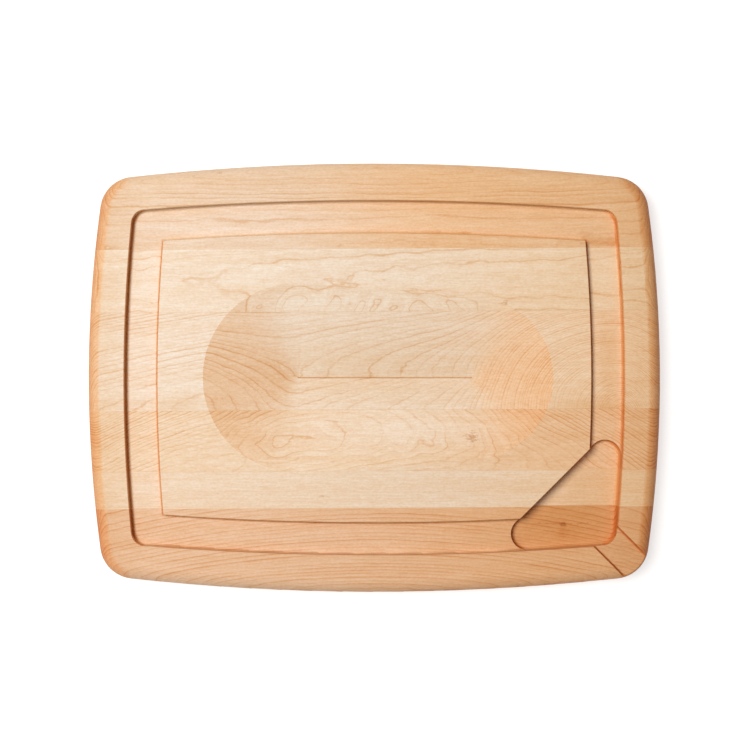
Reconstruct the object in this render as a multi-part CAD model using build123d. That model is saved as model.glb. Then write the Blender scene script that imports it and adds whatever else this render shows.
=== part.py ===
from build123d import *
import math
import os

# A carving board glued up from six full-length hardwood staves, with a juice groove around a raised
# field, a deep juice pocket in one corner, a pour spout through that corner and a long dish in
# the field. The long axis and the grain run along X, the staves lie side by side along Y, and the
# board lies flat with Z up. The origin is the centre of the underside. All sizes are in millimetres.

# Board
BOARD_LENGTH = 508.0          # 20 inches, across the bowed ends
BOARD_WIDTH = 381.0           # 15 inches, across the bowed long edges
BOARD_THICKNESS = 31.75       # 1 1/4 inches
LONG_EDGE_BOW = 1970.0        # radius of the bowed front and back edges
END_BOW = 1110.0              # radius of the bowed ends
BOARD_CORNER = 31.0           # corner radius in plan
EDGE_ROUND = 12.7             # half-inch round-over, top and bottom

# Juice groove: a flat channel with coved sides between the rim and the raised field
GROOVE_LENGTH = 440.6         # over the outer walls
GROOVE_WIDTH = 312.6
GROOVE_LONG_BOW = 2445.0
GROOVE_END_BOW = 1414.0
GROOVE_CORNER = 12.0
GROOVE_DEPTH = 6.35
COVE = 2.0                    # radius where each wall meets the floor

# Raised field inside the groove, with nearly square corners
FIELD_LENGTH = 382.6
FIELD_WIDTH = 255.0
FIELD_LONG_BOW = 2553.0
FIELD_END_BOW = 1397.0
FIELD_CORNER = 0.8

# Juice pocket: the front right corner, cut off the field along a 45 degree line
POCKET_DEPTH = 12.7
POCKET_LINE = 252.8           # the line x - y = POCKET_LINE
POCKET_END_ROUND = 14.5       # the two narrow ends
POCKET_COVE = 3.2             # radius where its wall meets its floor

# Pour spout: a shallow sloping channel from the pocket out through the rounded corner
SPOUT_LINE = 64.0             # its centre line is x + y = SPOUT_LINE
SPOUT_WIDTH = 27.2
SPOUT_START = 338.0           # it begins at the line x - y = SPOUT_START, inside the pocket
SPOUT_DEPTH = 3.0             # at its start
SPOUT_FALL = 3.0              # degrees, outwards
SPOUT_COVE = 1.2

# Dish: two cones with one slope, joined by the two planes that touch both
DISH_LEFT = -67.5             # X of the left cone's point, the deeper one
DISH_RIGHT = 85.7             # X of the right cone's point
DISH_LEFT_RADIUS = 83.5       # radii at the surface
DISH_RIGHT_RADIUS = 71.8
DISH_DEPTH = 16.0             # at the left point

# Staves, from the back edge to the front edge
JOINTS = (113.8, 58.4, -28.3, -82.1, -114.6)   # Y of the glued joints at the middle of the board
JOINT_SKEW = 0.33             # degrees that the joints run off square to the outline
GLUE_FILM = 0.15              # thickness of the cured adhesive
STAVES = ("stave_1_back_edge", "stave_2", "stave_3", "stave_4", "stave_5", "stave_6_front_edge")

EASED = 0.5                   # chamfer that takes the sharp corner off the edges of the cuts
ABOVE = 5.0                   # how far the cutting shapes reach past the top
DISH_ABOVE = 1.0              # the same for the dish, whose cutter widens quickly


def bowed_rectangle(length, width, long_bow, end_bow):
    """Plan shape with four bowed sides: where four large discs overlap."""
    shape = None
    for side in (-1, 1):
        long_side = Pos(0, side * (width / 2 - long_bow)) * Circle(long_bow)
        end_side = Pos(side * (length / 2 - end_bow), 0) * Circle(end_bow)
        pair = long_side & end_side
        shape = pair if shape is None else shape & pair
    return shape


def board_blank():
    """The glued-up blank: bowed outline, round corners, round-over above and below."""
    plan = bowed_rectangle(BOARD_LENGTH, BOARD_WIDTH, LONG_EDGE_BOW, END_BOW)
    plan = fillet(plan.vertices(), BOARD_CORNER)
    blank = extrude(plan, BOARD_THICKNESS)
    rims = blank.faces().sort_by(Axis.Z)[-1].edges() + blank.faces().sort_by(Axis.Z)[0].edges()
    return fillet(rims, EDGE_ROUND)


def groove_plan():
    """Plan of everything inside the groove's outer wall."""
    plan = bowed_rectangle(GROOVE_LENGTH, GROOVE_WIDTH, GROOVE_LONG_BOW, GROOVE_END_BOW)
    return fillet(plan.vertices(), GROOVE_CORNER)


def coved_cutter(plan, depth, cove):
    """A cutter of this plan, down to depth below the top, with its bottom edges rounded."""
    cutter = Pos(0, 0, BOARD_THICKNESS - depth) * extrude(plan, depth + ABOVE)
    return fillet(cutter.faces().sort_by(Axis.Z)[0].edges(), cove)


def groove_cutter():
    """The ring between the rim and the raised field."""
    field = bowed_rectangle(FIELD_LENGTH, FIELD_WIDTH, FIELD_LONG_BOW, FIELD_END_BOW)
    field = fillet(field.vertices(), FIELD_CORNER)
    return coved_cutter(groove_plan() - field, GROOVE_DEPTH, COVE)


def pocket_cutter():
    """The corner of the groove's plan beyond the 45 degree line, with round narrow ends."""
    line_middle = Pos(POCKET_LINE / 2, -POCKET_LINE / 2) * Rot(0, 0, -45)
    beyond_line = line_middle * Rectangle(BOARD_LENGTH, 2 * BOARD_LENGTH, align=(Align.MIN, Align.CENTER))
    plan = groove_plan() & beyond_line
    narrow_ends = plan.vertices().group_by(Axis((0, 0, 0), (1, -1, 0)))[0]
    plan = fillet(narrow_ends, POCKET_END_ROUND)
    return coved_cutter(plan, POCKET_DEPTH, POCKET_COVE)


def pocket_easing_cutter():
    """A bar on its edge, which chamfers the field along the pocket's 45 degree line."""
    front_end = Vector(POCKET_LINE - FIELD_WIDTH / 2, -FIELD_WIDTH / 2, BOARD_THICKNESS)
    right_end = Vector(FIELD_LENGTH / 2, FIELD_LENGTH / 2 - POCKET_LINE, BOARD_THICKNESS)
    length = (right_end - front_end).length
    bar = Rot(0, 45, 0) * Box(ABOVE, length, ABOVE, align=(Align.MIN, Align.CENTER, Align.MIN))
    return Pos((front_end + right_end) / 2) * Rot(0, 0, -45) * Pos(-EASED, 0, 0) * bar


def spout_cutter():
    """A square channel along the corner's diagonal, falling outwards, with small coves."""
    channel = Box(BOARD_WIDTH / 2, SPOUT_WIDTH, 4 * ABOVE, align=(Align.MIN, Align.CENTER, Align.MIN))
    lower_edges = channel.edges().filter_by(Axis.X).group_by(Axis.Z)[0]
    channel = fillet(lower_edges, SPOUT_COVE)
    start = Pos(SPOUT_LINE / 2, SPOUT_LINE / 2, BOARD_THICKNESS - SPOUT_DEPTH)
    return start * Rot(0, 0, -45) * Pos(SPOUT_START / math.sqrt(2), 0, 0) * Rot(0, SPOUT_FALL, 0) * channel


def dish_cutter():
    """Two upside-down cones and the trough between them, all with the same slope."""
    slope = DISH_DEPTH / DISH_LEFT_RADIUS
    lean = math.acos((DISH_LEFT_RADIUS - DISH_RIGHT_RADIUS) / (DISH_RIGHT - DISH_LEFT))
    cutter = None
    trough_ends = []
    for x, radius in ((DISH_LEFT, DISH_LEFT_RADIUS), (DISH_RIGHT, DISH_RIGHT_RADIUS)):
        depth = radius * slope + DISH_ABOVE
        wide = depth / slope
        point_z = BOARD_THICKNESS + DISH_ABOVE - depth
        cone = Pos(x, 0, point_z) * Cone(0, wide, depth, align=(Align.CENTER, Align.CENTER, Align.MIN))
        cutter = cone if cutter is None else cutter + cone
        touch_x = x + wide * math.cos(lean)
        touch_y = wide * math.sin(lean)
        corners = [(x, 0, point_z), (touch_x, touch_y, point_z + depth), (touch_x, -touch_y, point_z + depth)]
        trough_ends.append(Face(Wire.make_polygon(corners)))
    return cutter + loft(trough_ends, ruled=True)


def ease_top_edges(board, kept_types):
    """Chamfer the sharp edges that vertical walls of the cuts make with the top face."""
    top = BOARD_THICKNESS
    walls = board.faces().filter_by(lambda face: abs(face.normal_at().Z) < 0.01)
    edges = walls.edges().filter_by_position(Axis.Z, top, top)
    return chamfer([edge for edge in edges if edge.geom_type in kept_types], EASED)


def carved_board():
    """The blank with everything cut into its top."""
    board = ease_top_edges(board_blank() - groove_cutter(), (GeomType.CIRCLE,))
    board = board - pocket_cutter() - pocket_easing_cutter() - spout_cutter()
    board = ease_top_edges(board, (GeomType.LINE,))
    return board - dish_cutter()


def slab(front, back):
    """A slab across the whole board between two joint lines, given by their Y at the middle."""
    reach = 2 * BOARD_LENGTH
    block = Box(reach, back - front, reach, align=(Align.CENTER, Align.MIN, Align.CENTER))
    return Rot(0, 0, JOINT_SKEW) * Pos(0, front, 0) * block


def stave_parts(board):
    """Each stave is the board between two joints, less half a glue film at each joint."""
    backs = (BOARD_WIDTH,) + JOINTS
    fronts = JOINTS + (-BOARD_WIDTH,)
    half_film = GLUE_FILM / 2
    return {
        name: board & slab(front + half_film, back - half_film)
        for name, back, front in zip(STAVES, backs, fronts)
    }


def glue_parts(board):
    """The film left in each joint, with the same outline as the wood on both sides of it."""
    half_film = GLUE_FILM / 2
    return {
        f"glue_line_{number}": board & slab(joint - half_film, joint + half_film)
        for number, joint in enumerate(JOINTS, start=1)
    }


def main():
    os.makedirs("parts", exist_ok=True)
    board = carved_board()
    for name, piece in (stave_parts(board) | glue_parts(board)).items():
        piece.label = name
        export_step(piece, f"parts/{name}.step")


main()
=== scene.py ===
import math
from collections import namedtuple

import bpy
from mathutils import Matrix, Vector


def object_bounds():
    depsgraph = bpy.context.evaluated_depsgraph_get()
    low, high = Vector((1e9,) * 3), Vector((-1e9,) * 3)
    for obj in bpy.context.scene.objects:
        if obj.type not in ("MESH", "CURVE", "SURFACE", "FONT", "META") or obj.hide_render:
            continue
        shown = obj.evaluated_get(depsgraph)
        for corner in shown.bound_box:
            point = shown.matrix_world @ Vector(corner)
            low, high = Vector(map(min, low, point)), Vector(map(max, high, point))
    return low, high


# The maple of each stave is cut from growth rings in space, so the same rings run over the top, down
# the dish's slopes and round the edges, and show as arcs on the ends. Lengths in the wood are in mm.

MM = 0.001

# Growth rings of each stave. pith: Y and Z of the tree's centre at the middle of the board. lean: how
# far the centre moves in Y and Z for each mm along X. arch: the same, for each mm squared. bends: from
# each of these X on, the centre bends by this much more in Z for each mm squared. ring: width of a ring.
# waves: how far slow, middling and ragged waves push the rings. swell: length and height of the waves
# that run along X. lines: how dark the ring lines are. left, right: the ground colours, and turn: the X
# between which one becomes the other. heart: patches of heartwood, pale: patches of sapwood, and knots:
# small dark knots, each with its centre, reach and strength.
STAVES = {
    "stave_1_back_edge": dict(
        pith=(118, -70), lean=(0.0, 0.004), arch=(0.00003, 0.0),
        ring=1.9, waves=(3.0, 2.4, 0.5), swell=(31, 0.12),
        lines=0.90, left=(0.870, 0.705, 0.565), right=(0.895, 0.610, 0.375), turn=(-110, 70), seed=1.3,
        pale=[((-60, 133, 26), (210, 17, 9), 0.75)], knots=[((-136, 181, 26), (4, 2.5, 5), 0.5)],
    ),
    "stave_2": dict(
        pith=(85, -83), lean=(0.02, 0.010), arch=(0.0, 0.0), ring=1.9, waves=(3.4, 1.5, 0.5), swell=(31, 0.9),
        lines=0.78, left=(0.935, 0.850, 0.770), right=(0.955, 0.770, 0.580), turn=(-40, 200), seed=7.9,
        knots=[((115, 66, 30), (5, 3, 4), 0.45)],
    ),
    "stave_3": dict(
        pith=(-17, 127), lean=(0.0, -0.032), arch=(-0.00035, 0.0), bends=[(-70, -0.00022), (50, -0.00257)],
        ring=1.75, waves=(2.0, 0.8, 0.65), swell=(27, 0.08),
        lines=0.76, left=(0.930, 0.840, 0.765), right=(0.980, 0.765, 0.570), turn=(0, 210), seed=3.1,
        heart=[((192, -32, 30), (34, 14, 30), 0.9), ((-170, -24, 32), (34, 7, 12), 0.35),
               ((0, 10, 19), (120, 45, 9), 0.48), ((207, 10, 24), (10, 50, 8), 0.5)],
    ),
    "stave_4": dict(
        pith=(-60, -40), lean=(0.0, -0.055), arch=(-0.0011, -0.0001),
        ring=1.9, waves=(3.0, 2.6, 0.7), swell=(36, 0.6),
        lines=1.15, left=(0.920, 0.765, 0.615), right=(0.925, 0.640, 0.415), turn=(20, 170), seed=5.7,
        pale=[((20, -46, 25), (90, 14, 9), 0.7)],
        knots=[((86, -53, 26), (7, 7, 8), 0.5)],
    ),
    "stave_5": dict(
        pith=(-20, -40), lean=(0.0, 0.0), arch=(0.0, 0.0), ring=2.6, waves=(3.0, 1.2, 0.6), swell=(40, 0.2),
        lines=0.22, left=(0.910, 0.765, 0.635), right=(0.930, 0.690, 0.475), turn=(40, 230), seed=9.2,
        heart=[((195, -96, 18), (34, 22, 7), 0.5)],
        knots=[((-46, -104, 32), (3, 2, 3), 0.3)],
    ),
    "stave_6_front_edge": dict(
        pith=(-74, -34), lean=(0.0, 0.0), arch=(-0.0005, 0.0),
        ring=2.4, waves=(2.4, 1.3, 0.5), swell=(24, 0.25),
        lines=1.10, left=(0.870, 0.620, 0.450), right=(0.855, 0.530, 0.305), turn=(-110, 170), seed=2.4,
        heart=[((170, -130, 19), (70, 40, 7), 1.0), ((168, -138, 19), (4, 6, 4), 0.6)],
        knots=[((166, -129.7, 19), (46, 1.2, 4), 0.32), ((168, -130.5, 19), (4, 2.6, 4), 0.6)],
    ),
}

# tints that multiply the ground colour; the two burnish tints are also painted shade at the foot of walls and
# in corners
ACROSS_FIBRES = (0.975, 0.80, 0.63)
END_GRAIN = (0.86, 0.70, 0.58)
BURNISH_AND_SHADE_ACROSS = (0.76, 0.48, 0.26)
BURNISH_AND_SHADE_ALONG = (0.90, 0.79, 0.64)
RING_LINE = (0.84, 0.62, 0.40)
HEARTWOOD = (0.88, 0.72, 0.50)
PALE = (1.05, 1.15, 1.32)
KNOT = (0.62, 0.38, 0.20)
OILED_END = (0.94, 0.87, 0.78)
BROAD_BAND = (0.96, 0.86, 0.74)
FINE_FIBRE = (0.925, 0.85, 0.74)
CURL = (0.935, 0.88, 0.80)
FLECK = (0.90, 0.78, 0.62)

GLUE_DARK = (0.62, 0.36, 0.17)
GLUE_PALE = (0.72, 0.46, 0.25)
LINE_WIDTH = 0.46             # of a ring line, in mm

# the walls of the groove and of the raised field: half length, half width, bow of the ends and sides
GROOVE_WALL = (220.3, 156.3, 1414.0, 2445.0)
GROOVE_CORNER = 12.0
FIELD_WALL = (191.3, 127.5, 1397.0, 2553.0)
POCKET_LINE = 252.8
SPOUT_LINE = 64.0
TOP = 31.75
WALL_SLACK = 0.7              # how far outside the groove's wall a place still counts as on it
# the burnish and the painted shade on the walls stop at this depth below the top
DEEPEST_WALL = 13.0           # below the top; no burnished wall is deeper
RIM_MIDDLE = (228.0, 2520.0)  # a bowed line along the rim at each end: its X, and twice its bow
POCKET_FROM = 240.0           # x - y from which a low place is in the pocket
SPOUT_FROM = 335.0            # x - y from which a place is in the spout
SPOUT_FALL = 0.037            # how far its floor falls for each mm of x - y
DISH_LINE = (-68.0, 87.0)     # X of the two ends of the dish's bottom line

Spot = namedtuple("Spot", "place moved x y z nx ny nz")


class Graph:
    """A material's node tree, built from short expressions on its sockets."""

    def __init__(self, material):
        material.use_nodes = True
        self.tree = material.node_tree
        self.tree.nodes.clear()

    def node(self, kind, **settings):
        made = self.tree.nodes.new(kind)
        for name, value in settings.items():
            setattr(made, name, value)
        return made

    def feed(self, socket, value):
        if isinstance(value, bpy.types.NodeSocket):
            self.tree.links.new(value, socket)
        else:
            socket.default_value = value

    def math(self, operation, *values):
        made = self.node("ShaderNodeMath", operation=operation)
        for socket, value in zip(made.inputs, values):
            self.feed(socket, value)
        return made.outputs[0]

    def add(self, *values):
        total = values[0]
        for value in values[1:]:
            total = self.math("ADD", total, value)
        return total

    def minus(self, a, b):
        return self.math("SUBTRACT", a, b)

    def times(self, *values):
        total = values[0]
        for value in values[1:]:
            total = self.math("MULTIPLY", total, value)
        return total

    def vector_math(self, operation, a, b):
        made = self.node("ShaderNodeVectorMath", operation=operation)
        self.feed(made.inputs[0], a)
        self.feed(made.inputs[1], b)
        return made

    def ramp(self, value, low, high, to_low=0.0, to_high=1.0):
        """A smooth step from to_low to to_high as the value goes from low to high."""
        made = self.node("ShaderNodeMapRange", interpolation_type="SMOOTHSTEP")
        for socket, given in zip(made.inputs, (value, low, high, to_low, to_high)):
            self.feed(socket, given)
        return made.outputs[0]

    def mix(self, share, a, b, blend="MIX"):
        made = self.node("ShaderNodeMix", data_type="RGBA", blend_type=blend)
        self.feed(made.inputs[0], share)
        self.feed(made.inputs[6], a)
        self.feed(made.inputs[7], b)
        return made.outputs[2]

    def noise(self, at, stretch, detail=2.0, rough=0.5):
        """Smooth noise about 0, within about -0.5 to 0.5, with these wavelengths along X, Y and Z."""
        scaled = self.vector_math("MULTIPLY", at, tuple(1.0 / length for length in stretch)).outputs[0]
        made = self.node("ShaderNodeTexNoise", noise_dimensions="3D")
        self.feed(made.inputs["Vector"], scaled)
        self.feed(made.inputs["Scale"], 1.0)
        self.feed(made.inputs["Detail"], detail)
        self.feed(made.inputs["Roughness"], rough)
        return self.minus(made.outputs[0], 0.5)

    def hump(self, place, centre, reach):
        """1 at the centre, falling off smoothly to 0 at about twice the reach."""
        off = self.vector_math("SUBTRACT", place, centre).outputs[0]
        off = self.vector_math("DIVIDE", off, reach).outputs[0]
        far = self.vector_math("DOT_PRODUCT", off, off).outputs["Value"]
        return self.math("EXPONENT", self.times(far, -1.0))

    def tint(self, base, share, rgb):
        """Multiplies a colour by rgb, as far as the share says."""
        return self.mix(share, base, color(rgb), "MULTIPLY")

    def output(self, shader):
        made = self.node("ShaderNodeOutputMaterial")
        self.feed(made.inputs["Surface"], shader.outputs[0])


def color(rgb):
    return (*rgb, 1.0)


def wall_distances(g, x, y, wall):
    """How far a place is inside the end walls and the side walls of a bowed rectangle."""
    half_length, half_width, end_bow, side_bow = wall
    end = g.minus(half_length, g.add(g.math("ABSOLUTE", x), g.times(y, y, 0.5 / end_bow)))
    side = g.minus(half_width, g.add(g.math("ABSOLUTE", y), g.times(x, x, 0.5 / side_bow)))
    return end, side


def where(g, seed):
    """The place in mm, the same place moved by the stave's seed, and the way the surface faces."""
    here = g.node("ShaderNodeTexCoord").outputs["Object"]
    place = g.vector_math("MULTIPLY", here, (1 / MM, 1 / MM, 1 / MM)).outputs[0]
    moved = g.vector_math("ADD", place, (seed * 731.0, seed * 417.0, seed * 293.0)).outputs[0]
    split = g.node("ShaderNodeSeparateXYZ")
    g.feed(split.inputs[0], place)
    facing = g.node("ShaderNodeSeparateXYZ")
    g.feed(facing.inputs[0], g.node("ShaderNodeNewGeometry").outputs["Normal"])
    return Spot(place, moved, *split.outputs, *facing.outputs)


def from_pith(g, at, pith, lean, arch, bends):
    """How far a place is from the tree's centre: in Y, in Z, and in all."""
    xx = g.times(at.x, at.x)
    off_y = g.add(at.y, -pith[0], g.times(at.x, -lean[0]), g.times(xx, -arch[0]))
    off_z = g.add(at.z, -pith[1], g.times(at.x, -lean[1]), g.times(xx, -arch[1]))
    for start, bend in bends:
        past = g.math("MAXIMUM", g.add(at.x, -start), 0.0)
        off_z = g.add(off_z, g.times(past, past, -bend))
    away = g.math("SQRT", g.add(g.times(off_y, off_y), g.times(off_z, off_z)))
    return off_y, off_z, away


def pushed(g, at, away, waves, swell):
    """The distance from the centre, after waves of four sizes have pushed the rings about."""
    slow = g.times(g.noise(at.moved, (230, 70, 70), 1.0), waves[0])
    middling = g.times(g.noise(at.moved, (68, 17, 17), 2.0, 0.5), waves[1])
    ragged = g.times(g.noise(at.moved, (9, 4.5, 4.5), 2.0, 0.6), waves[2])
    wander = g.times(g.noise(at.moved, (80, 30, 30), 1.0), 9.0)
    phase = g.add(g.times(at.x, 2 * math.pi / swell[0]), wander)
    # the waves along X are weak on the top face, full from 3 mm down, and weak again from 6 mm down
    swelling = g.times(g.math("SINE", phase), g.ramp(at.z, TOP - 3.0, TOP - 0.3, 1.0, 0.12), swell[1])
    swelling = g.times(swelling, g.ramp(at.z, TOP - 6.1, TOP - 5.3, 0.2, 1.0))
    return g.add(away, slow, middling, ragged, swelling)


def count_rings(g, pushed_away, ring, seed):
    """Rings counted from the centre, some wider than others, the nearest line, and its strength."""
    grown = g.times(pushed_away, 1.0 / ring)
    years = g.node("ShaderNodeTexNoise", noise_dimensions="1D")
    g.feed(years.inputs["W"], g.add(grown, seed * 50))
    g.feed(years.inputs["Scale"], 0.37)
    g.feed(years.inputs["Detail"], 1.0)
    grown = g.add(grown, g.times(years.outputs[0], 1.2))
    whole = g.math("ROUND", grown)
    strength = g.node("ShaderNodeTexWhiteNoise", noise_dimensions="1D")
    g.feed(strength.inputs["W"], g.add(whole, seed))
    return grown, whole, g.ramp(strength.outputs[0], 0.0, 1.0, 0.4, 1.0)


def draw_rings(g, at, off, rings, ring, lines):
    """How dark the ring lines are; a line keeps its width on the surface, however slanting the cut."""
    off_y, off_z, away = off
    grown, whole, strength = rings
    slant = g.math("DIVIDE", g.add(g.times(at.ny, off_y), g.times(at.nz, off_z)), away)
    spread = g.math("SQRT", g.math("MAXIMUM", g.minus(1.04, g.times(slant, slant)), 0.0))
    width = g.times(spread, LINE_WIDTH / ring)
    from_line = g.math("DIVIDE", g.minus(grown, whole), width)
    line = g.math("EXPONENT", g.times(from_line, from_line, -1.0))
    late = g.ramp(g.math("FRACT", g.add(grown, 0.5)), 0.15, 0.5, 0.0, 0.35)
    fade = g.ramp(g.noise(at.moved, (60, 12, 12), 2.0), -0.22, 0.12, 0.35, 1.0)
    drawn = g.times(g.math("MAXIMUM", line, g.times(late, 0.6)), strength, fade, lines)
    return g.times(drawn, g.ramp(across_fibres(g, at), 0.03, 0.2, 1.0, 1.5))


def across_fibres(g, at):
    """0 where the surface runs along the fibres, up to 1 where it cuts straight across them."""
    return g.math("ABSOLUTE", g.add(at.nx, g.times(at.nz, 0.012)))


def ground_colour(g, at, left, right, turn, fibre, curl):
    """The colour between the lines: from left to right, with broad bands, fine fibres and flecks."""
    ground = g.mix(g.ramp(at.x, *map(float, turn)), color(left), color(right))
    bands = g.noise(at.moved, (240, 9, 9), 3.0, 0.6)
    ground = g.tint(ground, g.ramp(bands, -0.2, 0.25, 0.0, 0.6), BROAD_BAND)
    ground = g.tint(ground, g.ramp(fibre, -0.25, 0.25, 0.0, 1.0), FINE_FIBRE)
    ground = g.tint(ground, g.ramp(curl, -0.25, 0.25, 0.0, 1.0), CURL)
    flecks = g.ramp(g.noise(at.moved, (5, 0.8, 0.8), 1.0), 0.18, 0.30)
    return g.tint(ground, g.times(flecks, 0.8), FLECK)


def patches(g, at, wood, curl, heart, pale, knots):
    """Heartwood, sapwood and small knots."""
    for centre, reach, share in heart:
        wood = g.tint(wood, g.times(g.hump(at.place, centre, reach), share), HEARTWOOD)
    for centre, reach, share in pale:
        wood = g.tint(wood, g.times(g.hump(at.place, centre, reach), share), PALE)
    for centre, reach, share in knots:
        torn = g.ramp(g.add(g.hump(at.place, centre, reach), g.times(curl, 1.6)), 0.45, 0.9)
        wood = g.tint(wood, g.times(torn, share), KNOT)
    return wood


def cut_fibres(g, at, wood):
    """Across the fibres the wood is darker and more orange, and oil has soaked in near the ends."""
    across = across_fibres(g, at)
    wood = g.tint(wood, g.ramp(across, 0.0, 0.24), ACROSS_FIBRES)
    outward = g.add(g.math("ABSOLUTE", at.x), g.times(at.y, at.y, 1 / RIM_MIDDLE[1]))
    past_rim = g.math("GREATER_THAN", outward, RIM_MIDDLE[0])
    outside = g.math("MAXIMUM", past_rim, g.math("LESS_THAN", at.z, 1.0))
    wood = g.tint(wood, g.times(g.ramp(across, 0.2, 0.95), outside), END_GRAIN)
    return g.tint(wood, g.ramp(g.math("ABSOLUTE", at.x), 195.0, 250.0), OILED_END)


def inside_groove_wall(g, at):
    """How far a place is inside the groove's outer wall, and how much that wall faces along X."""
    end, side = wall_distances(g, at.x, at.y, GROOVE_WALL)
    corner = [g.math("MAXIMUM", g.minus(GROOVE_CORNER, way), 0.0) for way in (end, side)]
    round_corner = g.math("SQRT", g.add(*[g.times(way, way) for way in corner]))
    return g.minus(GROOVE_CORNER, round_corner), g.ramp(g.minus(side, end), -4.0, 4.0)


def burnish_and_shade_walls(g, at, wood, fibre, inward, across_wall, in_cut):
    """The cutter burnished the groove's two walls, most of all across the fibres; the same tint is also
    painted shade, for the shadow at the foot of the walls and along the field's edge, stronger and wider on
    the left and towards the back.
    """
    uneven = g.times(fibre, 1.5)
    # painted shadow: on the left, where the wall's foot lies in shade, the tint is stronger and reaches
    # further from the wall
    leftward = g.ramp(at.x, -60.0, 60.0, 1.0, 0.0)
    reach = g.add(g.times(leftward, across_wall, 1.4), 2.2)
    outer = g.ramp(g.add(inward, uneven), 0.6, reach, 1.0, 0.0)
    outer = g.times(outer, g.math("GREATER_THAN", inward, -WALL_SLACK), in_cut)
    # painted shade along the raised field's edge, where its step meets the groove floor, on top of the
    # burnish
    past_end, past_side = [g.times(way, -1.0) for way in wall_distances(g, at.x, at.y, FIELD_WALL)]
    past = g.math("MAXIMUM", past_end, past_side)
    field = g.ramp(g.add(past, uneven), 1.1, 2.8, 1.0, 0.0)
    field = g.times(field, g.math("GREATER_THAN", past, -0.6), in_cut)
    field = g.times(field, g.math("LESS_THAN", g.minus(at.x, at.y), POCKET_LINE))
    upper = g.ramp(at.z, TOP - 4.5, TOP - 1.5, 1.0, 0.6)
    burnt_and_shaded = g.math("MAXIMUM", g.times(outer, g.ramp(leftward, 0.0, 1.0, 0.7, 1.0)), field)
    wood = g.tint(wood, g.times(burnt_and_shaded, across_wall, upper), BURNISH_AND_SHADE_ACROSS)
    # painted shade: on the walls that run along the fibres the tint grows towards the back, where they face
    # away from the light
    burnt_and_shaded = g.math("MAXIMUM", g.times(outer, g.ramp(at.y, -40.0, 40.0, 0.1, 0.5)), field)
    wood = g.tint(wood, g.times(burnt_and_shaded, g.minus(1.0, across_wall), upper), BURNISH_AND_SHADE_ALONG)
    return wood, outer


def burnish_and_shade_pocket(g, at, wood, inward, outer, in_cut):
    """The same burnish for the pocket's coved wall, with painted shade: the steeper the cove, the darker."""
    in_pocket = g.math("LESS_THAN", at.z, TOP - 6.6)
    in_pocket = g.times(in_cut, in_pocket, g.math("GREATER_THAN", inward, -WALL_SLACK))
    in_pocket = g.times(in_pocket, g.math("GREATER_THAN", g.minus(at.x, at.y), POCKET_FROM))
    # painted shade and burnish together: the share follows how steep the cove is
    coved = g.times(in_pocket, g.ramp(at.nz, 0.70, 0.96, 1.0, 0.0), g.minus(1.0, outer))
    return g.tint(wood, g.times(coved, 0.8), BURNISH_AND_SHADE_ACROSS)


def burnish_and_shade_spout(g, at, wood, inward, in_cut):
    """The same burnish for the spout's two sides, above its sloping floor, with painted shade in its corners.
    """
    off_spout = g.math("ABSOLUTE", g.add(at.x, at.y, -SPOUT_LINE))
    spout = g.times(g.ramp(off_spout, 16.6, 17.8), g.math("LESS_THAN", off_spout, 20.0), in_cut)
    spout_floor = g.add(g.times(g.minus(at.x, at.y), -SPOUT_FALL), TOP + 9.5)
    spout = g.times(spout, g.math("GREATER_THAN", at.z, g.add(spout_floor, -0.3)))
    spout = g.times(spout, g.math("LESS_THAN", inward, 0.0))
    spout = g.times(spout, g.math("GREATER_THAN", g.minus(at.x, at.y), SPOUT_FROM))
    return g.tint(wood, g.times(spout, 0.8), BURNISH_AND_SHADE_ACROSS)


def burnish_dish_line(g, at, wood):
    """The sharp line along the dish's bottom."""
    bottom = g.ramp(g.math("ABSOLUTE", at.y), 0.35, 0.8, 1.0, 0.0)
    bottom = g.times(bottom, g.ramp(at.z, TOP - 13.3, TOP - 12.9, 1.0, 0.0))
    bottom = g.times(bottom, g.math("GREATER_THAN", at.x, DISH_LINE[0]))
    bottom = g.times(bottom, g.math("LESS_THAN", at.x, DISH_LINE[1]))
    return g.tint(wood, g.times(bottom, g.math("GREATER_THAN", at.z, 1.0), 0.9), BURNISH_AND_SHADE_ACROSS)


def burnish_and_shade(g, at, wood, fibre):
    """Everywhere that the cutter left the wood darker and more orange, and where shade is painted at the foot
    of walls and in corners.
    """
    in_cut = g.math("GREATER_THAN", at.z, TOP - DEEPEST_WALL)
    inward, across_wall = inside_groove_wall(g, at)
    wood, outer = burnish_and_shade_walls(g, at, wood, fibre, inward, across_wall, in_cut)
    wood = burnish_and_shade_pocket(g, at, wood, inward, outer, in_cut)
    wood = burnish_and_shade_spout(g, at, wood, inward, in_cut)
    return burnish_dish_line(g, at, wood)


def oiled_surface(g, wood, fibre, drawn):
    """The finish: dull oil, with the fibres and ring lines just felt."""
    shader = g.node("ShaderNodeBsdfPrincipled")
    g.feed(shader.inputs["Base Color"], wood)
    g.feed(shader.inputs["Roughness"], g.ramp(fibre, -0.3, 0.3, 0.56, 0.70))
    shader.inputs["Specular IOR Level"].default_value = 0.28
    bump = g.node("ShaderNodeBump")
    bump.inputs["Strength"].default_value = 0.25
    bump.inputs["Distance"].default_value = 0.05 * MM
    g.feed(bump.inputs["Height"], g.add(fibre, g.times(drawn, -0.6)))
    g.feed(shader.inputs["Normal"], bump.outputs[0])
    g.output(shader)


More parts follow.
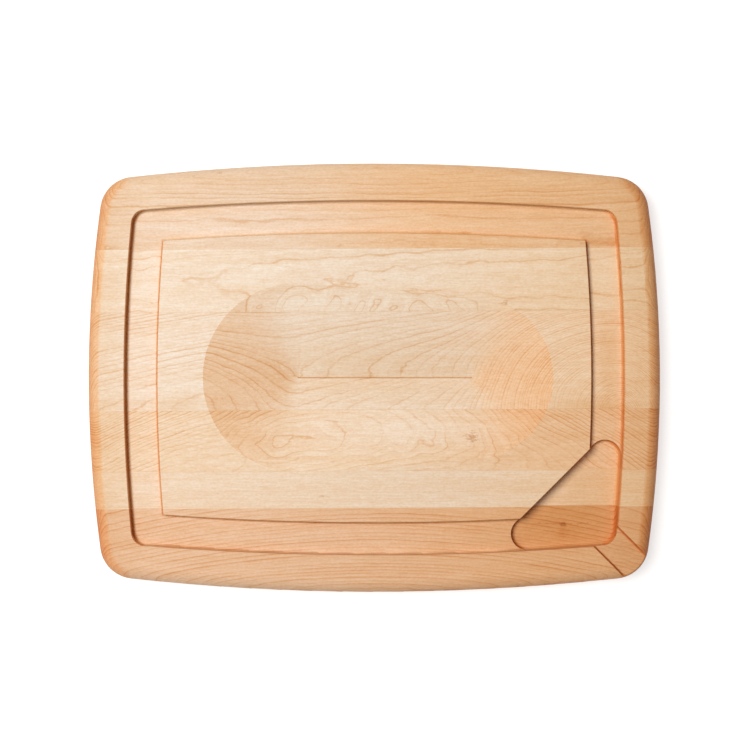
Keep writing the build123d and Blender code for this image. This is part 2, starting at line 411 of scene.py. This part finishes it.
def maple(name, pith, lean, arch, ring, waves, swell, lines, left, right, turn, seed,
          bends=(), heart=(), pale=(), knots=()):
    """Oiled hard maple with its own growth rings."""
    g = Graph(bpy.data.materials.new(name))
    at = where(g, seed)
    off = from_pith(g, at, pith, lean, arch, bends)
    rings = count_rings(g, pushed(g, at, off[2], waves, swell), ring, seed)
    drawn = draw_rings(g, at, off, rings, ring, lines)
    fibre = g.noise(at.moved, (16, 1.3, 1.3), 3.0, 0.7)
    curl = g.noise(at.moved, (2.6, 1.5, 1.5), 2.0, 0.6)
    wood = ground_colour(g, at, left, right, turn, fibre, curl)
    wood = g.tint(wood, drawn, RING_LINE)
    wood = patches(g, at, wood, curl, heart, pale, knots)
    wood = cut_fibres(g, at, wood)
    wood = burnish_and_shade(g, at, wood, fibre)
    oiled_surface(g, wood, fibre, drawn)


def glue(name):
    """Cured adhesive, sanded flush: translucent brown, a little uneven along the joint."""
    g = Graph(bpy.data.materials.new(name))
    here = g.node("ShaderNodeTexCoord").outputs["Object"]
    place = g.vector_math("MULTIPLY", here, (1 / MM, 1 / MM, 1 / MM)).outputs[0]
    uneven = g.ramp(g.noise(place, (22, 5, 5), 2.0), -0.2, 0.2)
    shader = g.node("ShaderNodeBsdfPrincipled")
    g.feed(shader.inputs["Base Color"], g.mix(uneven, color(GLUE_DARK), color(GLUE_PALE)))
    shader.inputs["Roughness"].default_value = 0.45
    g.output(shader)


def dress(frame):
    """Give each stave its own maple, and each glue line the adhesive."""
    glue("glue_cured")
    for name, node in frame["nodes"].items():
        if name in STAVES:
            maple("maple_" + name, **STAVES[name])
            node.material_slots[0].material = bpy.data.materials["maple_" + name]
        else:
            node.material_slots[0].material = bpy.data.materials["glue_cured"]


def floor(box):
    """A plain pale floor, far larger than the board."""
    low = Vector(box[0])
    mesh = bpy.data.meshes.new("floor")
    corners = [(-30, -30), (30, -30), (30, 30), (-30, 30)]
    mesh.from_pydata([(x, y, low.z - 0.0003) for x, y in corners], [], [(0, 1, 2, 3)])
    made = bpy.data.objects.new("floor", mesh)
    bpy.context.scene.collection.objects.link(made)
    g = Graph(bpy.data.materials.new("floor_pale"))
    shader = g.node("ShaderNodeBsdfPrincipled")
    shader.inputs["Base Color"].default_value = (0.50, 0.50, 0.50, 1.0)
    shader.inputs["Roughness"].default_value = 0.9
    shader.inputs["Specular IOR Level"].default_value = 0.1
    shader.inputs["Emission Color"].default_value = (1.0, 1.0, 1.0, 1.0)
    shader.inputs["Emission Strength"].default_value = 0.68
    g.output(shader)
    mesh.materials.append(bpy.data.materials["floor_pale"])


def softbox(name, place, aim, size, power, tint):
    lamp = bpy.data.lights.new(name, "AREA")
    lamp.shape = "SQUARE"
    lamp.size = size
    lamp.energy = power
    lamp.color = tint
    made = bpy.data.objects.new(name, lamp)
    made.location = place
    made.rotation_euler = (Vector(aim) - Vector(place)).to_track_quat("-Z", "Y").to_euler()
    bpy.context.scene.collection.objects.link(made)


def studio(box):
    """One large softbox up to the left and behind, and a dim warm surround."""
    middle = (Vector(box[0]) + Vector(box[1])) / 2
    softbox("key_softbox", middle + Vector((-0.90, 0.32, 2.0)), middle, 1.1, 48.4, (1.0, 0.985, 0.965))
    world = bpy.data.worlds.new("surround")
    bpy.context.scene.world = world
    world.use_nodes = True
    back = world.node_tree.nodes["Background"]
    back.inputs["Color"].default_value = (1.0, 0.96, 0.92, 1.0)
    back.inputs["Strength"].default_value = 0.16
    bpy.context.scene.view_settings.view_transform = "Standard"


def camera(box):
    """Straight above the board, a shade off its centre."""
    middle = (Vector(box[0]) + Vector(box[1])) / 2
    lens = bpy.data.cameras.new("camera")
    lens.sensor_width = 36.0
    lens.lens = 60.0
    made = bpy.data.objects.new("camera", lens)
    made.location = (middle.x + 0.0006, middle.y + 0.0024, box[1][2] + 1.1)
    bpy.context.scene.collection.objects.link(made)
    bpy.context.scene.camera = made


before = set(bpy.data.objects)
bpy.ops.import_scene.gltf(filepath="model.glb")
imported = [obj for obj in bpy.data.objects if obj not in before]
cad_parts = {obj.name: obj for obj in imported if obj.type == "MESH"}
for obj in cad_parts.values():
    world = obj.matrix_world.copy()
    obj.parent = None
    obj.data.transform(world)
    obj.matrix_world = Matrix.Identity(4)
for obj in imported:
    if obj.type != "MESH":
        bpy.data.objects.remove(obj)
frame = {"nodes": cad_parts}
cad_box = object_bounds()
dress(frame)
floor(cad_box)
studio(cad_box)
camera(cad_box)
